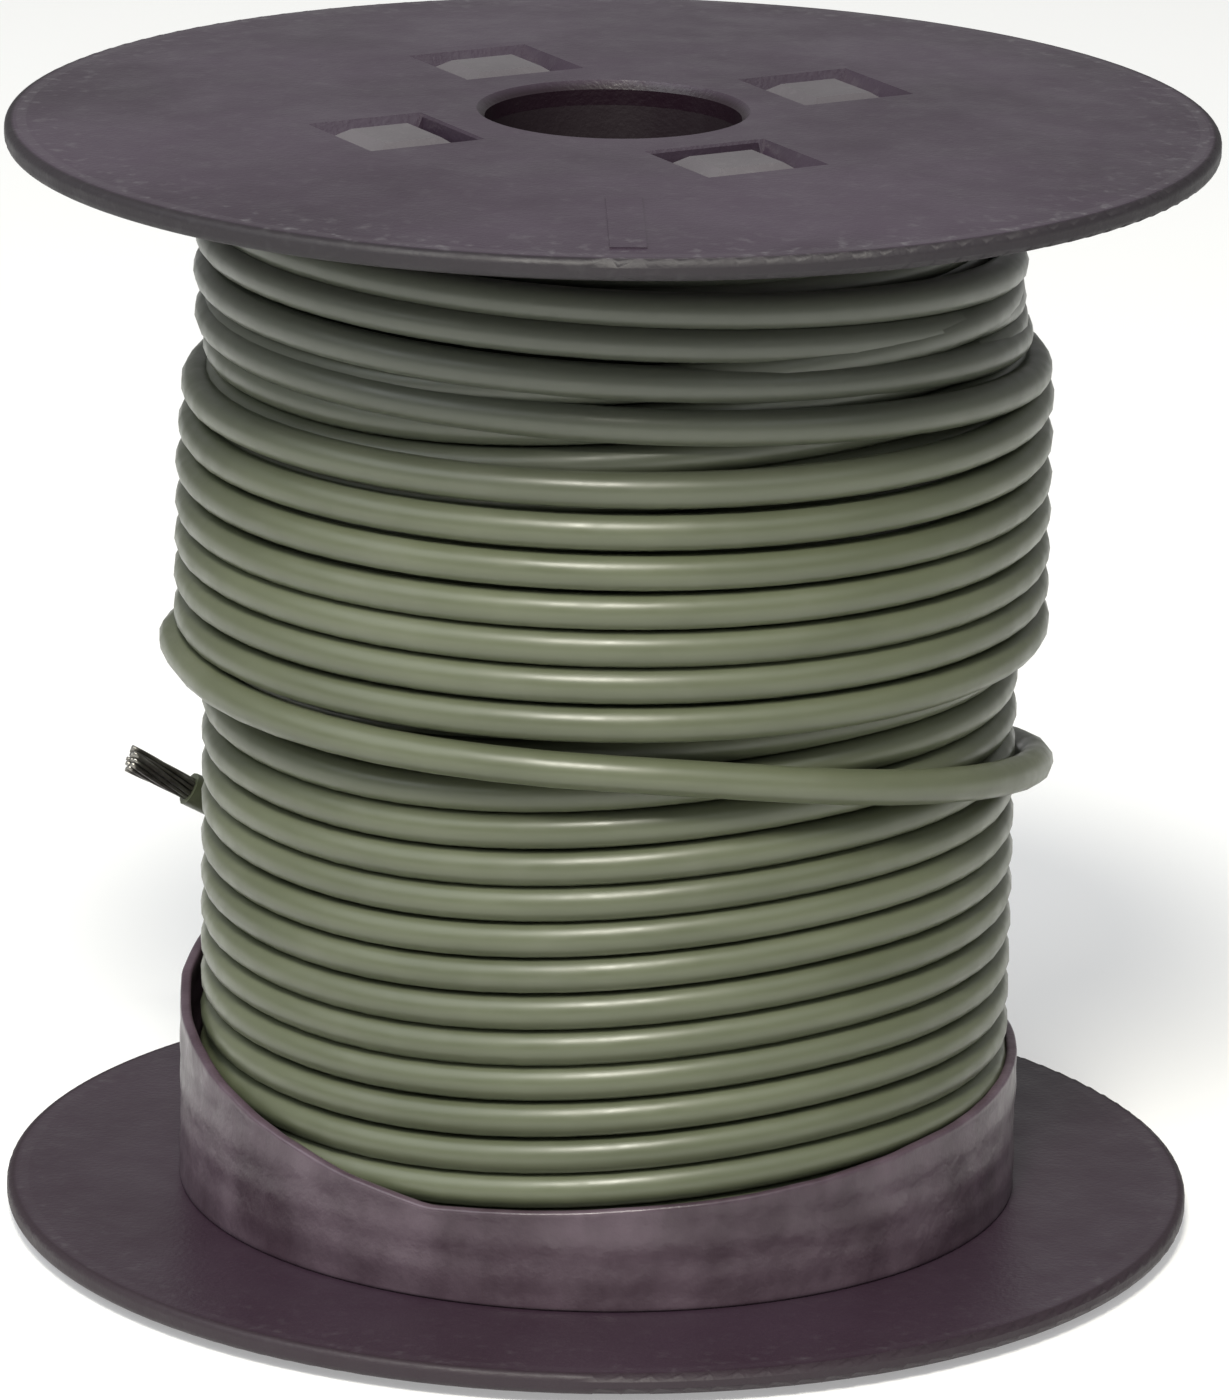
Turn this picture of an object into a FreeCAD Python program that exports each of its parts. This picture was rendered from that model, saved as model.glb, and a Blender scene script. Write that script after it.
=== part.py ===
import FreeCAD, Part
import math
import os

Vector = FreeCAD.Vector

# A plastic spool wound with insulated wire, standing on its lower flange.
# Millimetres and degrees. +Z is the spool's axis and z = 0 is the surface it stands on.
# A bearing is measured round the axis from the front (-Y) towards the right (+X).

# Flanges
flange_radius = 45.0
rim_thickness = 1.6
hub_rise = 0.8
hub_radius = 24.5
bore_radius = 9.55
bore_chamfer = 0.6
rim_outer_rounding = 0.6
rim_inner_rounding = 0.5
rib_bearing = 1.7
rib_width = 2.6
rib_height = 0.12
rib_inner_radius = 28.5
rib_outer_radius = 42.0

# Core
winding_space = 80.6
barrel_radius = 23.35
barrel_wall = 1.8
arbor_wall = 1.6
seat_depth = 0.6
seat_clearance = 0.1
web_thickness = 1.6

# Latches that hold each flange on the core
latch_count = 4
latch_bearing = 29.5
latch_width = 8.0
stem_inner_radius = 17.2
stem_outer_radius = 19.0
stem_length = 12.0
foot_height = 2.0
head_inner_radius = 14.4
head_outer_radius = 22.0
head_width = 8.2
head_height = 1.0
head_bevel = 1.5
pocket_depth = 1.1
pocket_draft = 0.5
pocket_clearance = 0.4
window_inner_radius = 13.6
window_outer_radius = 19.4
window_width = 9.0

# Wire and winding
wire_diameter = 2.7
full_layers_radius = 30.5
outer_layer_radius = 32.8
outer_layer_low = 46.4
outer_layer_high = 65.5
last_turn_low = 43.45
last_turn_radius = 33.3
last_turn_from = 110.0
free_end_bearing = 264.0

# Retaining band round the lowest turns
band_inner_radius = 30.85
band_outer_radius = 32.0
left_slope_height = 13.54
left_slope_tilt = 11.9
left_slope_low_bearing = 30.0
front_slope_height = 11.3
front_slope_tilt = 4.0
front_slope_low_bearing = -60.0

# Bare conductor at the cut end
strand_radius = 0.31
strand_length = 5.8

# Places that follow from the dimensions above
inner_face = hub_rise + rim_thickness
total_height = 2 * inner_face + winding_space
middle = total_height / 2
barrel_bore = barrel_radius - barrel_wall
arbor_radius = bore_radius + arbor_wall
seat_floor = inner_face - seat_depth


def at(bearing, radius, height):
    angle = math.radians(bearing)
    return Vector(radius * math.sin(angle), -radius * math.cos(angle), height)


# Route of the wire's free turn: off the winding at the left, across the front, round the
# back and out to the left, where the insulation ends and the conductor points up and away.
free_route = [
    at(264, 31.95, 44.8),
    at(276, 32.66, 44.8),
    at(300, 32.66, 44.4),
    at(324, 32.66, 44.15),
    at(348, 32.66, 43.95),
    at(372, 32.66, 43.3),
    at(396, 32.7, 41.1),
    at(420, 32.9, 38.7),
    at(444, 33.4, 36.4),
    at(468, 33.4, 34.1),
    at(492, 33.2, 31.7),
    at(516, 33.0, 29.2),
    at(540, 32.9, 26.6),
    Vector(-13.3, 29.8, 24.1),
    Vector(-20.8, 26.1, 22.5),
    Vector(-24.7, 24.2, 22.5),
    Vector(-28.7, 22.65, 23.7),
    Vector(-32.3, 21.5, 25.9),
]


def turned(shape, bearing):
    """Turn a shape that was drawn along +X to the given bearing."""
    copy = shape.copy()
    copy.rotate(Vector(0, 0, 0), Vector(0, 0, 1), bearing - 90)
    return copy


def to_upper_end(shape):
    return shape.mirror(Vector(0, 0, middle), Vector(0, 0, 1))


def revolved(edges):
    face = Part.Face(Part.Wire(Part.sortEdges(edges)[0]))
    return face.revolve(Vector(0, 0, 0), Vector(0, 0, 1), 360)


def ring(inner, outer, low, high):
    outside = Part.makeCylinder(outer, high - low, Vector(0, 0, low))
    inside = Part.makeCylinder(inner, high - low, Vector(0, 0, low))
    return outside.cut(inside)


def radial_box(inner, outer, width, low, high):
    """A box along +X, centred on y = 0."""
    return Part.makeBox(outer - inner, width, high - low, Vector(inner, -width / 2, low))


def rectangle(inner, outer, width, height):
    half = width / 2
    corners = [
        Vector(inner, -half, height),
        Vector(outer, -half, height),
        Vector(outer, half, height),
        Vector(inner, half, height),
    ]
    return Part.makePolygon(corners + corners[:1])


def tapered_block(inner, outer, width, low, high, taper):
    """A block along +X whose four sides lean in by taper from low to high."""
    base = rectangle(inner, outer, width, low)
    top = rectangle(inner + taper, outer - taper, width - 2 * taper, high)
    return Part.makeLoft([base, top], True, True)


def latch_bearings():
    step = 360 / latch_count
    return [latch_bearing + step * number for number in range(latch_count)]


def rounded_corner(corner_radius, corner_height, rounding, side):
    """Quarter round at the rim's outer corner: side is 1 where the flange lies above the corner."""
    inset = rounding * (1 - math.sqrt(0.5))
    on_face = Vector(corner_radius - rounding, 0, corner_height)
    halfway = Vector(corner_radius - inset, 0, corner_height + side * inset)
    on_rim = Vector(corner_radius, 0, corner_height + side * rounding)
    return on_face, on_rim, Part.Arc(on_face, halfway, on_rim).toShape()


def flange_disc():
    """Lower flange: flat inside, outside a flat hub and a shallow cone out to a rounded rim."""
    cone_end, rim_low, outer_round = rounded_corner(flange_radius, hub_rise, rim_outer_rounding, 1)
    face_end, rim_high, inner_round = rounded_corner(flange_radius, inner_face, rim_inner_rounding, -1)
    bore_low = Vector(bore_radius, 0, bore_chamfer)
    bore_high = Vector(bore_radius, 0, inner_face)
    hub_start = Vector(bore_radius + bore_chamfer, 0, 0)
    hub_end = Vector(hub_radius, 0, 0)
    edges = [
        Part.makeLine(bore_low, hub_start),
        Part.makeLine(hub_start, hub_end),
        Part.makeLine(hub_end, cone_end),
        outer_round,
        Part.makeLine(rim_low, rim_high),
        inner_round,
        Part.makeLine(face_end, bore_high),
        Part.makeLine(bore_high, bore_low),
    ]
    return revolved(edges)


def latch_opening():
    """Window for a latch's stem and the drafted pocket its head lies in, along +X."""
    window = radial_box(window_inner_radius, window_outer_radius, window_width, -1, inner_face + 1)
    pocket = tapered_block(
        head_inner_radius - pocket_clearance - pocket_draft,
        head_outer_radius + pocket_clearance + pocket_draft,
        head_width + 2 * (pocket_clearance + pocket_draft),
        0,
        pocket_depth,
        pocket_draft,
    )
    return window.fuse(pocket)


def radial_rib():
    """Low rib that lies on the flange's cone, along +X."""
    slope = hub_rise / (flange_radius - rim_outer_rounding - hub_radius)
    inner_surface = (rib_inner_radius - hub_radius) * slope
    outer_surface = (rib_outer_radius - hub_radius) * slope
    half = rib_width / 2
    corners = [
        Vector(rib_inner_radius, -half, inner_surface + 0.5),
        Vector(rib_outer_radius, -half, outer_surface + 0.5),
        Vector(rib_outer_radius, -half, outer_surface - rib_height),
        Vector(rib_inner_radius, -half, inner_surface - rib_height),
    ]
    side = Part.Face(Part.makePolygon(corners + corners[:1]))
    return side.extrude(Vector(0, rib_width, 0))


def lower_flange():
    disc = flange_disc()
    barrel_seat = ring(barrel_bore - seat_clearance, barrel_radius + seat_clearance, seat_floor, inner_face)
    arbor_seat = ring(bore_radius / 2, arbor_radius + seat_clearance, seat_floor, inner_face)
    disc = disc.cut(barrel_seat).cut(arbor_seat)
    for bearing in latch_bearings():
        disc = disc.cut(turned(latch_opening(), bearing))
    return disc.fuse(turned(radial_rib(), rib_bearing)).removeSplitter()


def core_web(number):
    """One of the upright webs between the arbor tube and the barrel."""
    bearing = latch_bearings()[number] + 180 / latch_count
    slab = radial_box(bore_radius, barrel_radius, web_thickness, inner_face, total_height - inner_face)
    space = ring(arbor_radius, barrel_bore, inner_face, total_height - inner_face)
    return turned(slab, bearing).common(space)


def lower_latch(number):
    """Springy stem on the barrel's inner wall, with a bevelled head outside the flange."""
    stem_top = inner_face + stem_length
    stem = radial_box(stem_inner_radius, stem_outer_radius, latch_width, pocket_depth, stem_top)
    foot = radial_box(stem_inner_radius, barrel_radius, latch_width, stem_top - foot_height, stem_top)
    foot = foot.common(Part.makeCylinder(barrel_bore, total_height))
    head_face = pocket_depth - head_height
    head = tapered_block(
        head_inner_radius, head_outer_radius, head_width, pocket_depth, head_face, head_bevel
    )
    latch = stem.fuse(foot).fuse(head).removeSplitter()
    return turned(latch, latch_bearings()[number])


def space_above(height, tilt, low_bearing):
    """Everything above a plane that crosses the axis at height and is lowest at low_bearing."""
    size = 4 * flange_radius
    block = Part.makeBox(size, size, size, Vector(-size / 2, -size / 2, 0))
    block.rotate(Vector(0, 0, 0), Vector(0, 1, 0), tilt)
    block = turned(block, low_bearing)
    block.translate(Vector(0, 0, height))
    return block


def retaining_band():
    """Thin sleeve round the lowest turns, with a rim that climbs from the front to the left and back."""
    sleeve = ring(band_inner_radius, band_outer_radius, inner_face, middle)
    above_left = space_above(left_slope_height, left_slope_tilt, left_slope_low_bearing)
    above_front = space_above(front_slope_height, front_slope_tilt, front_slope_low_bearing)
    return sleeve.cut(above_left.common(above_front))


def wire_winding():
    """Outer shape of the coil: full layers, a part layer over them, and the end of its last turn."""
    layers = ring(barrel_radius, full_layers_radius, inner_face, total_height - inner_face)
    part_layer = ring(full_layers_radius, outer_layer_radius, outer_layer_low, outer_layer_high)
    height = outer_layer_low - last_turn_low
    sweep = free_end_bearing - last_turn_from
    start = Vector(0, 0, last_turn_low)
    sector = Part.makeCylinder(last_turn_radius, height, start, Vector(0, 0, 1), sweep)
    sector = turned(sector, last_turn_from)
    last_turn = sector.cut(Part.makeCylinder(full_layers_radius, total_height))
    return layers.fuse(part_layer).fuse(last_turn).removeSplitter()


def rounded_route(points):
    """Straight runs joined by tangent arcs, each as large as its two runs allow."""
    edges = []
    radii = []
    start = points[0]
    for before, corner, after in zip(points, points[1:], points[2:]):
        back = before - corner
        forward = after - corner
        half_turn = (math.pi - back.getAngle(forward)) / 2
        reach = 0.45 * min(back.Length, forward.Length)
        radius = reach / math.tan(half_turn)
        back.normalize()
        forward.normalize()
        arc_start = corner + back * reach
        arc_end = corner + forward * reach
        inward = back + forward
        inward.normalize()
        arc_middle = corner + inward * (radius / math.cos(half_turn) - radius)
        edges.append(Part.LineSegment(start, arc_start).toShape())
        edges.append(Part.Arc(arc_start, arc_middle, arc_end).toShape())
        radii.append(radius)
        start = arc_end
    edges.append(Part.LineSegment(start, points[-1]).toShape())
    return Part.Wire(edges), radii


def wire_free_end():
    path, radii = rounded_route(free_route)
    circle = Part.makeCircle(wire_diameter / 2, free_route[0], free_route[1] - free_route[0])
    tube = path.makePipeShell([Part.Wire(circle)], True, False)
    section = math.pi * wire_diameter ** 2 / 4
    print("free end radii:", [round(radius, 1) for radius in radii])
    print("free end length:", round(path.Length, 2))
    print("volume over section times length:", round(tube.Volume / (section * path.Length), 4))
    return tube


def wire_conductor_end():
    """Bare strands that stand out of the cut end: one in the middle and six round it."""
    end = free_route[-1]
    along = end - free_route[-2]
    along.normalize()
    side = along.cross(Vector(0, 0, 1))
    side.normalize()
    up = side.cross(along)
    strands = [Part.makeCylinder(strand_radius, strand_length, end, along)]
    pitch_radius = 2 * strand_radius + 0.01
    for number in range(6):
        angle = math.radians(60 * number)
        offset = (side * math.cos(angle) + up * math.sin(angle)) * pitch_radius
        strands.append(Part.makeCylinder(strand_radius, strand_length, end + offset, along))
    return Part.makeCompound(strands)


def build():
    nodes = {
        "lower_flange": lower_flange(),
        "upper_flange": to_upper_end(lower_flange()),
        "barrel": ring(barrel_bore, barrel_radius, seat_floor, total_height - seat_floor),
        "arbor_tube": ring(bore_radius, arbor_radius, seat_floor, total_height - seat_floor),
        "retaining_band": retaining_band(),
        "wire_winding": wire_winding(),
        "wire_free_end": wire_free_end(),
        "wire_conductor_end": wire_conductor_end(),
    }
    for number in range(latch_count):
        nodes[f"core_web_{number + 1}"] = core_web(number)
        nodes[f"lower_latch_{number + 1}"] = lower_latch(number)
        nodes[f"upper_latch_{number + 1}"] = to_upper_end(lower_latch(number))
    return nodes


os.makedirs("parts", exist_ok=True)
for name, shape in build().items():
    print(name, "solids:", len(shape.Solids), "volume:", round(shape.Volume, 1))
    shape.exportStep(f"parts/{name}.step")
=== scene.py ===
import math
import random

import bmesh
import bpy
from mathutils import Matrix, Vector, noise


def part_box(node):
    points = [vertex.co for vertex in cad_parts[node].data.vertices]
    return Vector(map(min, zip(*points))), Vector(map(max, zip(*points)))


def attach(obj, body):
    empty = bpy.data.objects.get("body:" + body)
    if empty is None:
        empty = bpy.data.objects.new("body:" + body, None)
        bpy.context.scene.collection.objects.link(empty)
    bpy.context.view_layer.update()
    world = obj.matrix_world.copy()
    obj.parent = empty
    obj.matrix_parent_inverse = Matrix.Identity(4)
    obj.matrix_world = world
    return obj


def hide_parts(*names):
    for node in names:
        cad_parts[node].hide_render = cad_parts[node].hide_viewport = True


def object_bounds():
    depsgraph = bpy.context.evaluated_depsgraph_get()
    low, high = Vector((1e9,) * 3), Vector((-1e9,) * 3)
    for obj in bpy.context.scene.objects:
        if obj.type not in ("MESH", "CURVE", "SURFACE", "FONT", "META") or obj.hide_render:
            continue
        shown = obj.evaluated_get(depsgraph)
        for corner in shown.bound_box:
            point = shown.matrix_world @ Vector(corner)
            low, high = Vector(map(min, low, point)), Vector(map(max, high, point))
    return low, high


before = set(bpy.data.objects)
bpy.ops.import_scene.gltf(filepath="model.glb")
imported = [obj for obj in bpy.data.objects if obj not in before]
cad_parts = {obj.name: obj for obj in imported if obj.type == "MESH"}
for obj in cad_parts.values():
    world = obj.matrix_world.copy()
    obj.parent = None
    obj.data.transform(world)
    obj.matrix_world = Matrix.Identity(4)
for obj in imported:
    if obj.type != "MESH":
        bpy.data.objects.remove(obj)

cadLow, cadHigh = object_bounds()
middle = (cadLow.z + cadHigh.z) / 2
mm = 0.001
flangeRadius = (cadHigh.x - cadLow.x) / 2
print("frame loaded, nodes:", len(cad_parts))


def around(bearing, radius, height):
    # bearing in degrees from the front towards the right; radius and height in millimetres
    angle = math.radians(bearing)
    return Vector((radius * math.sin(angle), -radius * math.cos(angle), height)) * mm


def smooth(value, low, high):
    step = min(max((value - low) / (high - low), 0), 1)
    return step * step * (3 - 2 * step)


def mixed(first, second, share):
    return first + (second - first) * share


# ---- camera

view = {
    "aim": (0.8, 0.0, -2.82),  # millimetres from the middle of the spool
    "distance": 682.1,
    "elevation": 16.12,
    "roll": 0.955,
    "focalLength": 232.7,
    "sensor": 36.0,
}


def makeCamera():
    data = bpy.data.cameras.new("spoolCamera")
    data.sensor_width = view["sensor"]
    data.lens = view["focalLength"]
    data.clip_start = 0.01
    data.clip_end = 50
    camera = bpy.data.objects.new("spoolCamera", data)
    bpy.context.scene.collection.objects.link(camera)
    elevation = math.radians(view["elevation"])
    back = Vector((0, -math.cos(elevation), math.sin(elevation)))
    aim = Vector(view["aim"]) * mm + Vector((0, 0, middle))
    turn = back.to_track_quat("Z", "Y").to_matrix().to_4x4()
    roll = Matrix.Rotation(math.radians(view["roll"]), 4, "Z")
    camera.matrix_world = Matrix.Translation(aim + back * view["distance"] * mm) @ turn @ roll
    bpy.context.scene.camera = camera


makeCamera()
print("camera placed")


# ---- shader maths

class Link:
    # a socket of a material's nodes that can be added, multiplied and so on
    def __init__(self, tree, socket=None):
        self.tree = tree
        self.socket = socket

    def node(self, kind, settings, sockets, output=0):
        made = self.tree.nodes.new(kind)
        for name, value in settings.items():
            if name == "stops":
                self.setStops(made.color_ramp, value)
            else:
                setattr(made, name, value)
        for name, value in sockets.items():
            if isinstance(value, Link):
                self.tree.links.new(value.socket, made.inputs[name])
            else:
                made.inputs[name].default_value = value
        if not made.outputs:
            return None
        return Link(self.tree, made.outputs[output])

    def setStops(self, ramp, stops):
        while len(ramp.elements) < len(stops):
            ramp.elements.new(0.5)
        for element, (position, colour) in zip(ramp.elements, stops):
            element.position = position
            element.color = colour

    def maths(self, operation, first, second=0.0):
        return self.node("ShaderNodeMath", {"operation": operation}, {0: first, 1: second})

    def __add__(self, other):
        return self.maths("ADD", self, other)

    def __radd__(self, other):
        return self.maths("ADD", other, self)

    def __sub__(self, other):
        return self.maths("SUBTRACT", self, other)

    def __rsub__(self, other):
        return self.maths("SUBTRACT", other, self)

    def __mul__(self, other):
        return self.maths("MULTIPLY", self, other)

    def __rmul__(self, other):
        return self.maths("MULTIPLY", other, self)


def newMaterial(name):
    material = bpy.data.materials.new(name)
    material.use_nodes = True
    material.node_tree.nodes.clear()
    place = Link(material.node_tree).node("ShaderNodeTexCoord", {}, {}, "Object")
    return material, place


def giveSurface(place, sockets):
    shader = place.node("ShaderNodeBsdfPrincipled", {}, sockets)
    place.node("ShaderNodeOutputMaterial", {}, {"Surface": shader})


def cloudy(place, scale, detail=2.0, stretch=(1, 1, 1)):
    stretched = place.node("ShaderNodeMapping", {}, {"Vector": place, "Scale": stretch})
    sockets = {"Vector": stretched, "Scale": scale, "Detail": detail, "Roughness": 0.55}
    return place.node("ShaderNodeTexNoise", {}, sockets)


def ranged(place, value, low, high, toLow, toHigh):
    sockets = {"Value": value, 1: low, 2: high, 3: toLow, 4: toHigh}
    return place.node("ShaderNodeMapRange", {}, sockets)


def blended(place, share, first, second):
    return place.node("ShaderNodeMix", {"data_type": "RGBA"}, {0: share, 6: first, 7: second}, 2)


def bumped(place, height, distance, strength=1.0):
    return place.node("ShaderNodeBump", {}, {"Height": height, "Distance": distance, "Strength": strength})


def fromAxis(place):
    flat = place.node("ShaderNodeVectorMath", {"operation": "MULTIPLY"}, {0: place, 1: (1, 1, 0)})
    return place.node("ShaderNodeVectorMath", {"operation": "LENGTH"}, {0: flat}, "Value")


# ---- plastics

flangeLook = {
    "dark": (0.024, 0.015, 0.025, 1),
    "light": (0.041, 0.028, 0.044, 1),
    # light colour for the scuffs near the rim, and for the painted highlight ring just inside the rim
    "scuffAndHighlight": (0.115, 0.108, 0.120, 1),
    # painted shade: near-black for the flange's outer edge, standing in for its shaded side
    "rim": (0.007, 0.005, 0.007, 1),
    # painted shade: near-black maroon for the inside of the bore
    "boreShade": (0.010, 0.004, 0.008, 1),
    # painted shade: darker, redder colour for the lower flange
    "lowShade": (0.021, 0.009, 0.016, 1),
    "roughness": (0.30, 0.44),
    "grain": 0.00004,
}

# painted shade: a near-black copy of the plastic for the arbor tube, standing in for the shade inside the
# bore
boreShadeLook = {
    "dark": (0.012, 0.006, 0.010, 1),
    "light": (0.020, 0.011, 0.017, 1),
    "scuffAndHighlight": (0.05, 0.035, 0.045, 1),
    "rim": (0.012, 0.006, 0.010, 1),
    "boreShade": (0.008, 0.003, 0.006, 1),
    "lowShade": (0.012, 0.006, 0.010, 1),
    "roughness": (0.5, 0.65),
    "grain": 0.00003,
}

coreLook = {
    "dark": (0.060, 0.053, 0.061, 1),
    "light": (0.100, 0.091, 0.101, 1),
    "scuffAndHighlight": (0.20, 0.19, 0.20, 1),
    "rim": (0.05, 0.045, 0.05, 1),
    "boreShade": (0.012, 0.006, 0.010, 1),
    "lowShade": (0.060, 0.050, 0.060, 1),
    "roughness": (0.34, 0.48),
    "grain": 0.00003,
}


# shares of the flange's radius, then metres; they bound the rim wear, a painted highlight ring, painted rim
# shade, painted bore shade and painted shade low down
wearAndPaintedLightBounds = {
    "wearFrom": 0.84,
    "wearTo": 0.98,
    # painted highlight: a thin light ring just inside the rim
    "rimHighlightAt": 0.972,
    "rimHighlightWidth": 0.008,
    # painted shade on the flange's outer edge
    "rimShadeFrom": 0.984,
    "rimShadeTo": 0.990,
    "rimShadeShare": 0.85,
    # painted shade inside the bore, in metres from the axis
    "boreWall": 0.0097,
    "boreEdge": 0.0102,
    # painted shade low down: heights in metres where it fades out
    "lowShadeFrom": 0.003,
    "lowShadeTo": 0.005,
    "lowShadeShare": 0.6,
}


def mouldedPlastic(name, look, rimWear):
    material, place = newMaterial(name)
    tone = cloudy(place, 38, 3)
    flow = cloudy(place, 220, 4, (1, 1, 0.3))
    colour = blended(place, ranged(place, tone, 0.35, 0.65, 0, 1), look["dark"], look["light"])
    speckle = ranged(place, cloudy(place, 900, 3), 0.56, 0.72, 0, 1)
    reach = fromAxis(place)
    wearFrom = flangeRadius * wearAndPaintedLightBounds["wearFrom"]
    wearTo = flangeRadius * wearAndPaintedLightBounds["wearTo"]
    nearRim = ranged(place, reach, wearFrom, wearTo, 0, 1)
    wear = speckle * (nearRim * rimWear + 0.10)
    # painted highlight: a thin light ring just inside the rim, where its rounded edge catches the light,
    # added on top of the real scuffs
    rimHighlightSockets = {
        0: reach,
        1: flangeRadius * wearAndPaintedLightBounds["rimHighlightAt"],
        2: flangeRadius * wearAndPaintedLightBounds["rimHighlightWidth"],
    }
    rimHighlight = place.node("ShaderNodeMath", {"operation": "COMPARE"}, rimHighlightSockets)
    colour = blended(place, wear + rimHighlight * (0.10 + speckle * 0.12), colour, look["scuffAndHighlight"])
    # painted shade: the flange's outer edge is blended towards near-black
    rimShadeFrom = flangeRadius * wearAndPaintedLightBounds["rimShadeFrom"]
    rimShadeTo = flangeRadius * wearAndPaintedLightBounds["rimShadeTo"]
    edge = ranged(place, reach, rimShadeFrom, rimShadeTo, 0, wearAndPaintedLightBounds["rimShadeShare"])
    colour = blended(place, edge, colour, look["rim"])
    # painted shade: inside the bore the plastic is blended near-black
    boreShadeMask = ranged(place, reach, wearAndPaintedLightBounds["boreWall"], wearAndPaintedLightBounds["boreEdge"], 1, 0)
    colour = blended(place, boreShadeMask, colour, look["boreShade"])
    height = place.node("ShaderNodeSeparateXYZ", {}, {"Vector": place}, "Z")
    # painted shade: below about 5 mm, on the lower flange, the colour is blended darker and redder
    low = ranged(place, height, wearAndPaintedLightBounds["lowShadeFrom"], wearAndPaintedLightBounds["lowShadeTo"], wearAndPaintedLightBounds["lowShadeShare"], 0)
    colour = blended(place, low, colour, look["lowShade"])
    rough = ranged(place, flow, 0.3, 0.7, *look["roughness"]) + edge * 0.25
    grain = cloudy(place, 2600, 2) + flow * 2.0
    giveSurface(place, {
        "Base Color": colour,
        "Roughness": rough,
        "IOR": 1.49,
        "Normal": bumped(place, grain, look["grain"]),
    })
    return material


flangePlastic = mouldedPlastic("flangePlastic", flangeLook, 0.35)
corePlastic = mouldedPlastic("corePlastic", coreLook, 0.0)
boreShadePlastic = mouldedPlastic("boreShadePlastic", boreShadeLook, 0.0)

for nodeName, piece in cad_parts.items():
    material = flangePlastic if nodeName.endswith("flange") else corePlastic
    # painted shade: the arbor tube gets the near-black copy of the plastic
    if nodeName == "arbor_tube":
        material = boreShadePlastic
    for slot in piece.material_slots:
        slot.material = material
print("moulded plastics on the flanges and the core")


# ---- wire

wire = {
    "diameter": 2.7,
    "length": 16.4,  # metres
    "pointsPerTurn": 20,
    "pitch": 2.745,
    "layers": (24.7, 27.05, 29.38),
    "lowestTurn": 3.8,
    "highestTurn": 81.5,
    "thirdBase": 4.515,
    "thirdTurns": 24,
    "stepShare": 0.88,
    "stepFrom": -40,
    "stepTo": 48,
    "steepTurns": 1.5,
    "sunk": 2.2,
    "aside": 0.4,
    "looseness": 0.22,
    "seed": 4,
}

# outer turns from the top: height at the front, share of the tilt, radius at the left and right
outerLayer = {
    "heights": (79.9, 77.4, 74.95, 72.15, 69.1, 64.45, 61.4, 58.4, 55.55, 52.8, 50.0, 47.15, 44.8),
    "tilts": (0.6, 0.95, 1, 1, 0.85, 0, 0, 0, 0, 0, 0, 0, 0),
    "tiltLeft": 1.05,
    "tiltAcross": 4.2,
    "radii": (
        (29.4, 29.4), (29.5, 29.3), (30.0, 29.2), (30.1, 29.8), (30.0, 31.3), (31.0, 31.5),
        (31.2, 31.5), (31.4, 31.5), (31.4, 31.5), (31.45, 31.5), (31.5, 31.5), (31.5, 31.6),
        (31.9, 31.9),
    ),
}

# the free turn: off the winding at the left, across the front, round the back and out to the left
freeRoute = [
    around(264, 31.95, 44.8),
    around(276, 32.66, 44.8),
    around(300, 32.66, 44.4),
    around(324, 32.66, 44.15),
    around(348, 32.66, 43.95),
    around(372, 32.66, 43.3),
    around(396, 32.7, 41.1),
    around(420, 32.9, 38.7),
    around(444, 33.4, 36.4),
    around(468, 33.4, 34.1),
    around(492, 33.2, 31.7),
    around(516, 33.0, 29.2),
    around(540, 32.9, 26.6),
    Vector((-13.3, 29.8, 24.1)) * mm,
    Vector((-20.8, 26.1, 22.5)) * mm,
    Vector((-24.7, 24.2, 22.5)) * mm,
    Vector((-28.7, 22.65, 23.7)) * mm,
    Vector((-32.3, 21.5, 25.9)) * mm,
]


def level(turn, facing):
    # height of an outer turn: tilted down to the right under the top flange, flat lower down
    heights = outerLayer["heights"]
    tilts = outerLayer["tilts"]
    before = heights[turn] + tilts[turn] * outerLayer["tiltLeft"]
    if facing <= 90:
        return before - tilts[turn] * outerLayer["tiltAcross"] * ((facing + 90) / 180) ** 2
    low = before - tilts[turn] * outerLayer["tiltAcross"]
    after = heights[turn + 1] + tilts[turn + 1] * outerLayer["tiltLeft"]
    return mixed(low, after, smooth(facing, 90, 270))


def reach(turn, facing):
    # radius of an outer turn: from the left round the front to the right, and on round the back
    left, right = outerLayer["radii"][turn]
    nextLeft = outerLayer["radii"][turn + 1][0]
    if facing <= 90:
        return mixed(left, right, smooth(facing, -50, 70))
    return mixed(right, nextLeft, smooth(facing, 90, 270))


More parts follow.
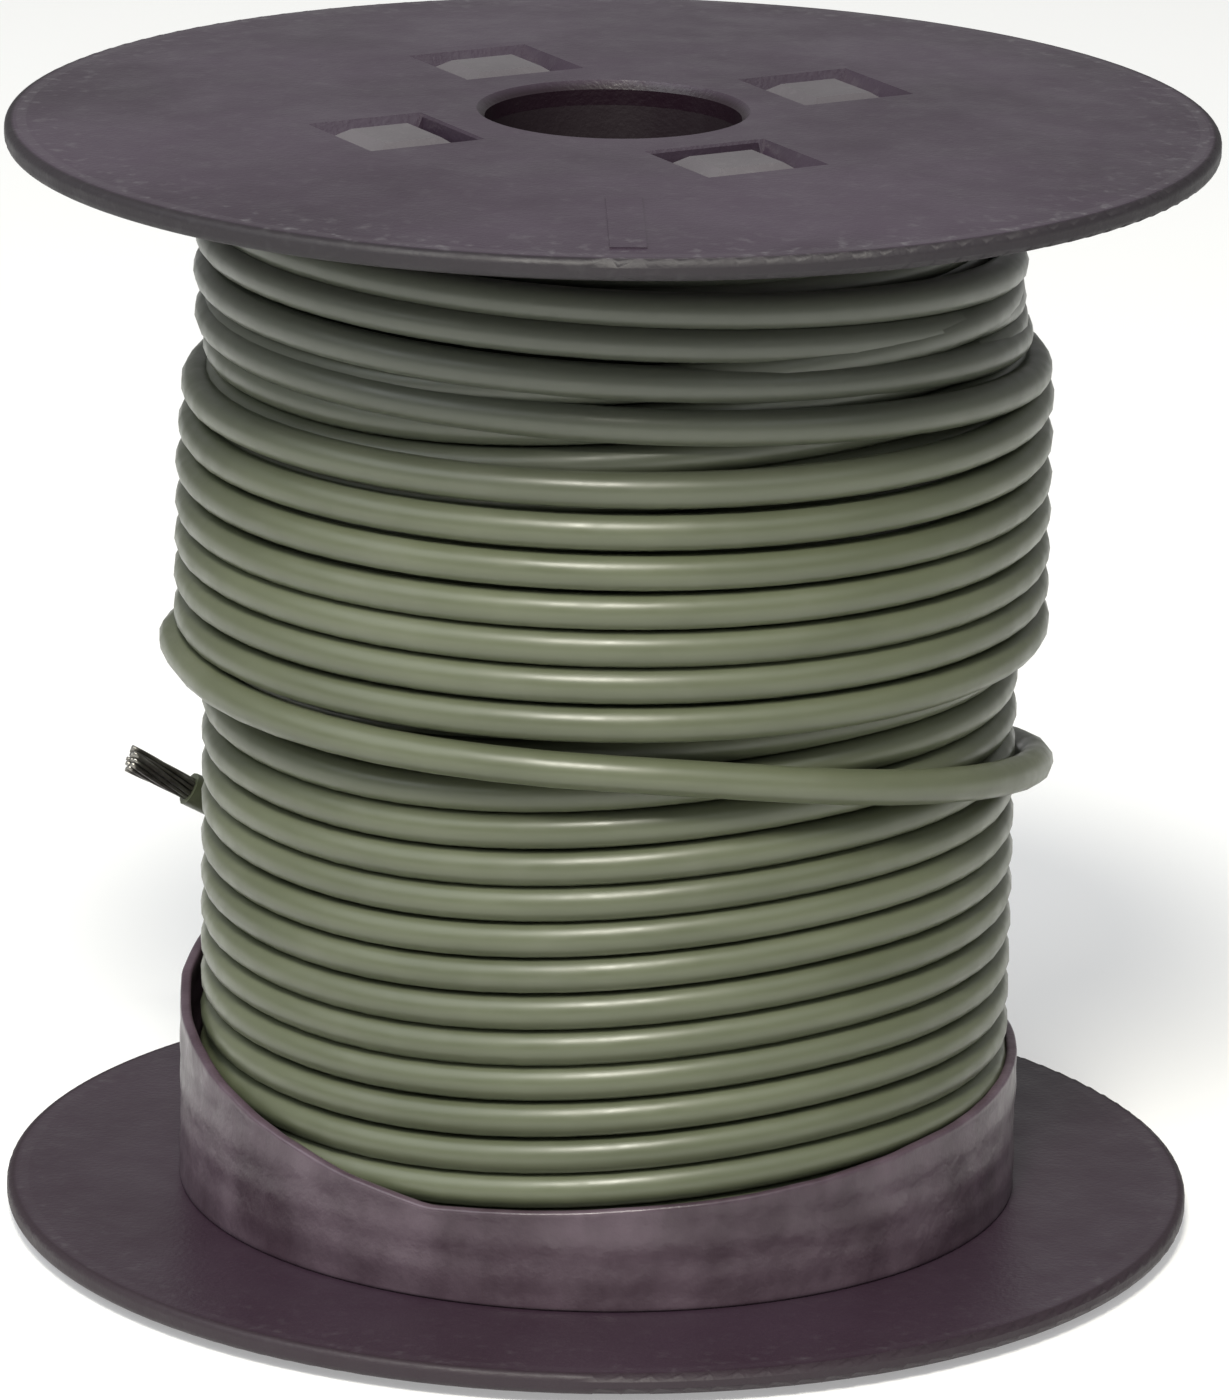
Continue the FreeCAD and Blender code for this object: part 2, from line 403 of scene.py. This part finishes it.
def coilPoints():
    # innermost layer upwards, second down, third up, a steep stretch under the fourth, fourth down
    step = 360 / wire["pointsPerTurn"]
    outside = 1 / math.cos(math.pi / wire["pointsPerTurn"])  # the spline runs inside its points
    pitch = wire["pitch"]
    low, high = wire["lowestTurn"], wire["highestTurn"]
    inner, second, third = wire["layers"]
    perTurn = wire["pointsPerTurn"]
    points = []

    def add(bearing, radius, height, aside=0):
        sway = wire["looseness"] * noise.noise(Vector((bearing / 170, len(points) / 90, wire["seed"])))
        place = around(bearing, radius * outside, height + sway)
        points.append(place + Vector((aside * mm, 0, 0)))

    # the two hidden layers
    count = int((high - low) / pitch) * perTurn + perTurn // 2
    bearing = -90.0
    for number in range(count):
        add(bearing, inner, low + (high - low) * number / count)
        bearing += step
    for number in range(count):
        lift = smooth(number, 0, perTurn)
        add(bearing, mixed(inner, second, lift), high - (high - low) * number / count)
        bearing += step

    # third layer: nearly level turns that step up a whole pitch as they cross the front
    bearing = bearing % 360 - 360
    startTurn = (bearing + 180) // 360
    number = 0
    while bearing < 360 * (startTurn + wire["thirdTurns"]) + 90:
        turn = (bearing + 180) // 360
        facing = bearing - 360 * turn
        crossing = smooth(facing, wire["stepFrom"], wire["stepTo"])
        drift = mixed((facing + 180) / 360, crossing, wire["stepShare"])
        height = max(wire["thirdBase"] + pitch * (turn - startTurn + drift), low)
        lift = smooth(number, 0, perTurn)
        add(bearing, mixed(second, third, lift), height, wire["aside"] * lift)
        bearing += step
        number += 1

    # steep stretch up to the top flange, sunk under the fourth layer
    climbFrom = points[-1].z / mm
    climbTo = level(0, -90)
    climb = int(wire["steepTurns"] * perTurn)
    for number in range(1, climb):
        share = number / climb
        sunk = wire["sunk"] * smooth(share, 0, 0.12) * smooth(1 - share, 0, 0.12)
        add(bearing, third - sunk, mixed(climbFrom, climbTo, share), wire["aside"])
        bearing += step

    # fourth layer: down to where the free turn leaves it at the left
    turns = len(outerLayer["heights"]) - 1
    bearing = (bearing + 90) % 360 - 90
    endBearing = 360 * turns - 96 - 0.7 * step
    while bearing < endBearing:
        turn = int((bearing + 90) // 360)
        facing = bearing - 360 * turn
        settle = smooth(bearing, endBearing - 90, endBearing)
        add(bearing, reach(turn, facing), level(turn, facing), wire["aside"] * (1 - settle))
        bearing += step
    print("turns wound:", round(len(points) / perTurn, 1))
    return points


def makeWire(points, name, diameter):
    data = bpy.data.curves.new(name, "CURVE")
    data.dimensions = "3D"
    data.bevel_depth = diameter * mm / 2
    data.bevel_resolution = 4
    data.resolution_u = 3
    data.use_fill_caps = True
    spline = data.splines.new("NURBS")
    spline.points.add(len(points) - 1)
    for control, point in zip(spline.points, points):
        control.co = (*point, 1)
    spline.order_u = 3
    spline.use_endpoint_u = True
    piece = bpy.data.objects.new(name, data)
    bpy.context.scene.collection.objects.link(piece)
    return piece


wound = coilPoints()
woundWire = makeWire(wound + freeRoute, "woundWire", wire["diameter"])
print("wire made, control points:", len(wound) + len(freeRoute))


insulationLook = {
    "shade": (0.064, 0.072, 0.042, 1),
    "light": (0.091, 0.101, 0.062, 1),
    "dust": (0.125, 0.130, 0.100, 1),
    # painted shade: greyer, darker colour for the upper turns where the top flange shades them
    "grimy": (0.072, 0.077, 0.066, 1),
    "grimeFrom": 0.0608,
    "grimeTo": 0.0718,
    "grimeShare": 0.65,
    "roughness": (0.31, 0.44),
}


def insulationMaterial():
    look = insulationLook
    material, place = newMaterial("wireInsulation")
    tone = cloudy(place, 45, 3, (1, 1, 4))
    colour = blended(place, ranged(place, tone, 0.3, 0.7, 0, 1), look["shade"], look["light"])
    dusty = ranged(place, cloudy(place, 130, 4), 0.55, 0.8, 0, 0.25)
    colour = blended(place, dusty, colour, look["dust"])
    height = place.node("ShaderNodeSeparateXYZ", {}, {"Vector": place}, "Z")
    # painted shade: from about 61 mm up, under the top flange, the turns are blended greyer and darker
    grime = ranged(place, height, look["grimeFrom"], look["grimeTo"], 0, look["grimeShare"])
    colour = blended(place, grime, colour, look["grimy"])
    handled = cloudy(place, 420, 3)
    giveSurface(place, {
        "Base Color": colour,
        "Roughness": ranged(place, handled, 0.3, 0.7, *look["roughness"]),
        "IOR": 1.5,
        "Normal": bumped(place, cloudy(place, 420, 1), 0.00002),
    })
    return material


woundWire.data.materials.append(insulationMaterial())
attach(woundWire, "root")
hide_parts("wire_winding", "wire_free_end")


# ---- bare conductor at the cut end

conductor = {
    "strand": 0.19,  # radius, millimetres
    "length": 5.6,
    "tuckedIn": 1.2,
    "twist": 75.0,
    "rings": ((0, 1), (0.39, 6), (0.76, 12)),
    "sections": 10,
    "sides": 8,
    "seed": 11,
}


def makeConductor():
    tip = freeRoute[-1]
    along = (freeRoute[-1] - freeRoute[-2]).normalized()
    frameTurn = along.to_track_quat("Z", "Y").to_matrix().to_4x4()
    place = Matrix.Translation(tip - along * conductor["tuckedIn"] * mm) @ frameTurn
    dice = random.Random(conductor["seed"])
    mesh = bmesh.new()
    for ringRadius, count in conductor["rings"]:
        for number in range(count):
            angle = 2 * math.pi * number / count
            offset = Vector((math.cos(angle), math.sin(angle), 0)) * ringRadius * mm
            made = bmesh.ops.create_circle(
                mesh, cap_ends=True, segments=conductor["sides"], radius=conductor["strand"] * mm
            )
            bmesh.ops.translate(mesh, verts=made["verts"], vec=offset)
            cap = made["verts"][0].link_faces[0]
            length = conductor["length"] + conductor["tuckedIn"] + dice.uniform(-0.35, 0.15)
            splay = dice.uniform(0.985, 1.015)
            rise = length / conductor["sections"] * mm
            turn = math.radians(conductor["twist"]) / conductor["sections"]
            for section in range(conductor["sections"]):
                grown = bmesh.ops.extrude_face_region(mesh, geom=[cap], use_keep_orig=section == 0)
                verts = [part for part in grown["geom"] if isinstance(part, bmesh.types.BMVert)]
                cap = [part for part in grown["geom"] if isinstance(part, bmesh.types.BMFace)][0]
                bmesh.ops.translate(mesh, verts=verts, vec=(0, 0, rise))
                bmesh.ops.rotate(mesh, verts=verts, cent=(0, 0, 0), matrix=Matrix.Rotation(turn, 3, "Z"))
                bmesh.ops.scale(mesh, verts=verts, vec=(splay, splay, 1))
    bmesh.ops.recalc_face_normals(mesh, faces=mesh.faces)
    bmesh.ops.transform(mesh, matrix=place, verts=mesh.verts)
    return finishMesh(mesh, "conductorEnd")


def finishMesh(mesh, name):
    data = bpy.data.meshes.new(name)
    for face in mesh.faces:
        face.smooth = True
    mesh.to_mesh(data)
    mesh.free()
    piece = bpy.data.objects.new(name, data)
    bpy.context.scene.collection.objects.link(piece)
    return piece


def conductorMaterial():
    material, place = newMaterial("tinnedStrands")
    dull = ranged(place, cloudy(place, 900, 3), 0.35, 0.7, 0, 1)
    colour = blended(place, dull, (0.30, 0.29, 0.27, 1), (0.11, 0.10, 0.09, 1))
    giveSurface(place, {
        "Base Color": colour,
        "Metallic": 0.9,
        "Roughness": ranged(place, dull, 0, 1, 0.3, 0.55),
        "Normal": bumped(place, cloudy(place, 5000, 2), 0.00002),
    })
    return material


conductorEnd = makeConductor()
conductorEnd.data.materials.append(conductorMaterial())
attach(conductorEnd, "root")
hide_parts("wire_conductor_end")
print("conductor end made")


# ---- retaining band

band = {
    "radius": 31.85,
    "largest": 31.98,
    "leftSlope": (13.54, 11.9, 30),  # height on the axis, tilt, bearing of the lowest point
    "frontSlope": (11.3, 4.0, -60),
    "ridgePhase": 4.75,
    "thickness": 0.8,
    "segments": 240,
    "rows": 22,
    "ridge": 0.03,
    "crease": 0.12,
    "frayedRim": 0.12,
}


def slopeHeight(slope, bearing):
    height, tilt, lowBearing = slope
    drop = 32 * math.tan(math.radians(tilt))
    return height - drop * math.cos(math.radians(bearing - lowBearing))


def rimHeight(bearing):
    # the higher of the rim's two slanted planes, in millimetres above the floor
    return max(slopeHeight(band["leftSlope"], bearing), slopeHeight(band["frontSlope"], bearing))


def makeBand():
    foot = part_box("retaining_band")[0].z / mm
    mesh = bmesh.new()
    bmesh.ops.create_circle(mesh, segments=band["segments"], radius=band["radius"] * mm)
    edges = list(mesh.edges)
    for row in range(band["rows"]):
        grown = bmesh.ops.extrude_edge_only(mesh, edges=edges)["geom"]
        verts = [part for part in grown if isinstance(part, bmesh.types.BMVert)]
        edges = [part for part in grown if isinstance(part, bmesh.types.BMEdge)]
        bmesh.ops.translate(mesh, verts=verts, vec=(0, 0, 1))
    for vert in mesh.verts:
        bearing = math.degrees(math.atan2(vert.co.x, -vert.co.y))
        share = vert.co.z / band["rows"]
        rim = rimHeight(bearing) + band["frayedRim"] * noise.noise(Vector((bearing / 14, 0, 3)))
        height = mixed(foot, rim, share)
        ridge = band["ridge"] * math.cos(2 * math.pi * (height - band["ridgePhase"]) / wire["pitch"])
        broad = noise.noise(Vector((bearing / 9, height / 6, 1)))
        fine = noise.noise(Vector((bearing / 4, height / 3, 7)))
        crease = broad + 0.6 * fine
        radius = band["radius"] + (ridge + band["crease"] * crease) * smooth(share, 0, 0.15)
        vert.co = around(bearing, min(radius, band["largest"]), height)
    piece = finishMesh(mesh, "retainingBand")
    wall = piece.modifiers.new("wall", "SOLIDIFY")
    wall.thickness = band["thickness"] * mm
    wall.offset = -1
    edge = piece.modifiers.new("edge", "BEVEL")
    edge.width = 0.2 * mm
    edge.segments = 2
    edge.limit_method = "ANGLE"
    return piece


bandLook = {
    "dark": (0.040, 0.024, 0.034, 1),
    "light": (0.084, 0.058, 0.076, 1),
    "roughness": (0.28, 0.46),
}


def bandMaterial():
    look = bandLook
    material, place = newMaterial("bandPlastic")
    patches = cloudy(place, 150, 4, (1, 1, 0.6))
    colour = blended(place, ranged(place, patches, 0.38, 0.66, 0, 1), look["dark"], look["light"])
    giveSurface(place, {
        "Base Color": colour,
        "Roughness": ranged(place, cloudy(place, 320, 3), 0.3, 0.7, *look["roughness"]),
        "IOR": 1.5,
        "Normal": bumped(place, cloudy(place, 500, 4), 0.00012),
    })
    return material


retainingBand = makeBand()
retainingBand.data.materials.append(bandMaterial())
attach(retainingBand, "root")
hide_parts("retaining_band")
print("retaining band made")


# ---- floor and light

studio = {
    "floorSize": 6.0,
    "floorColour": (0.64, 0.64, 0.64, 1),
    "ambient": 0.30,
    "lamps": (  # bearing, elevation, distance, size, power, colour
        (-6, 51, 0.9, 0.24, 10.0, (1.0, 0.975, 0.87)),
        (-62, 47, 1.1, 1.2, 7.5, (0.93, 0.98, 1.0)),
        (48, 44, 1.1, 0.8, 1.8, (0.95, 0.98, 1.0)),
    ),
    "floorGlow": 0.33,
}


def makeFloor():
    mesh = bmesh.new()
    bmesh.ops.create_grid(mesh, x_segments=1, y_segments=1, size=studio["floorSize"] / 2)
    floor = finishMesh(mesh, "floor")
    material, place = newMaterial("paleFloor")
    giveSurface(place, {
        "Base Color": studio["floorColour"],
        "Roughness": 0.8,
        "Emission Color": (1, 1, 1, 1),
        "Emission Strength": studio["floorGlow"],
    })
    floor.data.materials.append(material)


def makeLamp(name, bearing, elevation, distance, size, power, colour):
    data = bpy.data.lights.new(name, "AREA")
    data.shape = "DISK"
    data.size = size
    data.energy = power
    data.color = colour
    lamp = bpy.data.objects.new(name, data)
    bpy.context.scene.collection.objects.link(lamp)
    tilt = math.radians(elevation)
    turn = math.radians(bearing)
    towards = Vector((math.sin(turn) * math.cos(tilt), -math.cos(turn) * math.cos(tilt), math.sin(tilt)))
    lamp.matrix_world = (
        Matrix.Translation(towards * distance + Vector((0, 0, middle)))
        @ towards.to_track_quat("Z", "Y").to_matrix().to_4x4()
    )


def makeWorld():
    world = bpy.data.worlds.new("studio")
    world.use_nodes = True
    tree = world.node_tree
    tree.nodes.clear()
    glow = Link(tree).node("ShaderNodeBackground", {}, {"Color": (1, 1, 1, 1), "Strength": studio["ambient"]})
    glow.node("ShaderNodeOutputWorld", {}, {"Surface": glow})
    bpy.context.scene.world = world


makeFloor()
makeWorld()
for number, lamp in enumerate(studio["lamps"]):
    makeLamp("softLight" + str(number), *lamp)
bpy.context.scene.view_settings.view_transform = "Standard"
print("floor and lights placed")

bpy.context.view_layer.update()
